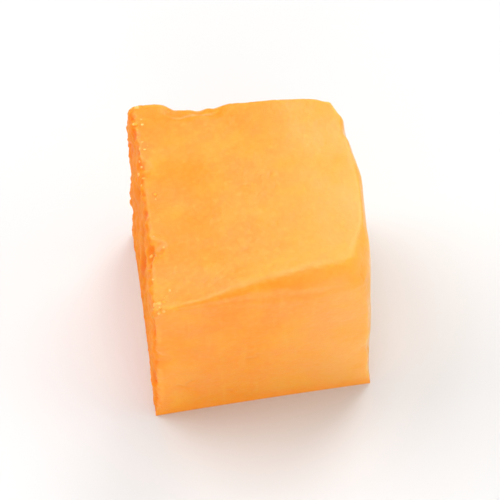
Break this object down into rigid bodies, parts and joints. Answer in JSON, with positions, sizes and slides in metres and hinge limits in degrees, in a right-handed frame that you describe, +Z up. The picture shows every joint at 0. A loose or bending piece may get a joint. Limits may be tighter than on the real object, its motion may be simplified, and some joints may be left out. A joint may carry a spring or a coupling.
{
  "type": "cantaloupe cube",
  "caption": "Chunk of ripe orange melon flesh diced to a rough cube, with knife-cut faces, a bowed rind side and a soft cavity side. It rests on a flat cut.",
  "frame": {"origin": "centre of the chunk's box, seen from above, at the height of the flat cut that it stands on", "axes": "+Z up, -Y out of the front cut, +X out of the side that lay under the rind, -X out of the side that lay next to the seed cavity"},
  "size_m": [0.0294, 0.0332, 0.0254],
  "materials": {
    "melon_flesh": "moist cut fruit flesh, satin"
  },
  "bodies": {
    "root": {"cantaloupe_cube": "melon_flesh"}
  },
  "joints": []
}
